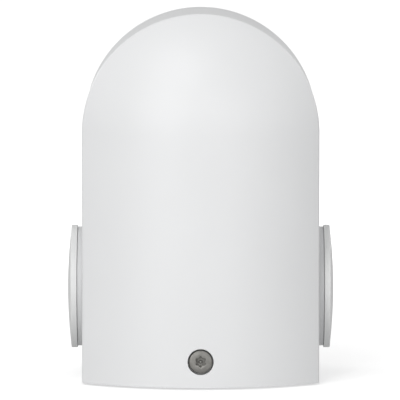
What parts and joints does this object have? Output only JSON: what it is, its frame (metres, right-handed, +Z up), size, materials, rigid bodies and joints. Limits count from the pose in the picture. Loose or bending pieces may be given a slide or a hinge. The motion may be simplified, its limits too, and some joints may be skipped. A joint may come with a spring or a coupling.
{
  "type": "mesh wifi node",
  "caption": "Arched mesh wifi node with a bulged front cover, held in a tilting bracket clamped by side knobs, with a port bay below.",
  "frame": {"origin": "centre of the overall box in plan, on the plane of the feet's soles", "axes": "-Y out of the bulged front, +Z up, +X to the right as seen from the front"},
  "size_m": [0.1134, 0.104, 0.1566],
  "materials": {
    "white_polymer": "satin",
    "cap_polymer": "satin",
    "bracket_paint": "powder coat",
    "grey_rubber": "matte",
    "seal_rubber": "matte",
    "screw_steel": "dull zinc",
    "brass": "satin",
    "aluminium": "satin",
    "tin_plate": "bright",
    "board_laminate": "solder mask",
    "black_polymer": "matte",
    "thermal_pad": "matte",
    "clear_polymer": "clear",
    "coax_sheath": "satin"
  },
  "bodies": {
    "housing": {"front_cover": "white_polymer", "rear_housing": "white_polymer", "port_tray": "white_polymer", "foot_1": "grey_rubber", "foot_2": "grey_rubber", "foot_3": "grey_rubber", "foot_4": "grey_rubber", "cover_gasket": "seal_rubber", "friction_disc_left": "seal_rubber", "friction_disc_right": "seal_rubber", "cover_screw": "screw_steel", "carrier_screw_1": "screw_steel", "carrier_screw_2": "screw_steel", "carrier_screw_3": "screw_steel", "carrier_screw_4": "screw_steel", "heat_sink_screw_1": "screw_steel", "heat_sink_screw_2": "screw_steel", "cover_screw_insert": "brass", "pivot_insert_left": "brass", "pivot_insert_right": "brass", "standoff_1": "brass", "standoff_2": "brass", "standoff_3": "brass", "standoff_4": "brass", "antenna_1": "brass", "antenna_2": "brass", "antenna_3": "brass", "antenna_4": "brass", "heat_sink": "aluminium", "network_jack_left": "tin_plate", "network_jack_right": "tin_plate", "power_jack": "tin_plate", "radio_shield_left": "tin_plate", "radio_shield_right": "tin_plate", "radio_shield_top": "tin_plate", "processor_shield": "tin_plate", "main_board": "board_laminate", "pressure_vent": "black_polymer", "reset_switch": "black_polymer", "line_transformer_left": "black_polymer", "line_transformer_right": "black_polymer", "antenna_carrier": "black_polymer", "thermal_pad": "thermal_pad", "status_led": "clear_polymer", "light_pipe": "clear_polymer", "antenna_lead_1": "coax_sheath", "antenna_lead_2": "coax_sheath", "antenna_lead_3": "coax_sheath", "antenna_lead_4": "coax_sheath"},
    "bracket": {"bracket": "bracket_paint"},
    "stud_left": {"clamp_stud_left": "tin_plate"},
    "stud_right": {"clamp_stud_right": "tin_plate"},
    "knob_left": {"clamp_knob_left": "cap_polymer"},
    "knob_right": {"clamp_knob_right": "cap_polymer"},
    "port_cover": {"port_cover": "white_polymer", "cable_grommet": "seal_rubber"},
    "reset_button": {"reset_button": "black_polymer"}
  },
  "joints": [
    {"name": "bracket_tilt", "type": "hinge", "parent": "housing", "child": "bracket", "pos_m": [0, 0, 0.0386], "axis": [1, 0, 0], "range_deg": [-20, 20]},
    {"name": "left_stud_slide", "type": "slide", "parent": "housing", "child": "stud_left", "axis": [-1, 0, 0], "range_m": [0, 0.00125]},
    {"name": "left_knob_turn", "type": "hinge", "parent": "stud_left", "child": "knob_left", "pos_m": [-0.0527, 0, 0.0386], "axis": [-1, 0, 0], "range_deg": [0, 360]},
    {"name": "right_stud_slide", "type": "slide", "parent": "housing", "child": "stud_right", "axis": [1, 0, 0], "range_m": [0, 0.00125]},
    {"name": "right_knob_turn", "type": "hinge", "parent": "stud_right", "child": "knob_right", "pos_m": [0.0527, 0, 0.0386], "axis": [1, 0, 0], "range_deg": [0, 360]},
    {"name": "port_cover_slide", "type": "slide", "parent": "housing", "child": "port_cover", "axis": [0, 1, 0], "range_m": [0, 0.032]},
    {"name": "reset_press", "type": "slide", "parent": "housing", "child": "reset_button", "axis": [0, 0, 1], "range_m": [0, 0.0008], "stiffness_N_per_m": 600, "springref_m": -0.001}
  ],
  "couplings": [
    {"joint": "left_stud_slide", "follows": "left_knob_turn", "m_per_rad": 0.00019894},
    {"joint": "right_stud_slide", "follows": "right_knob_turn", "m_per_rad": 0.00019894}
  ]
}
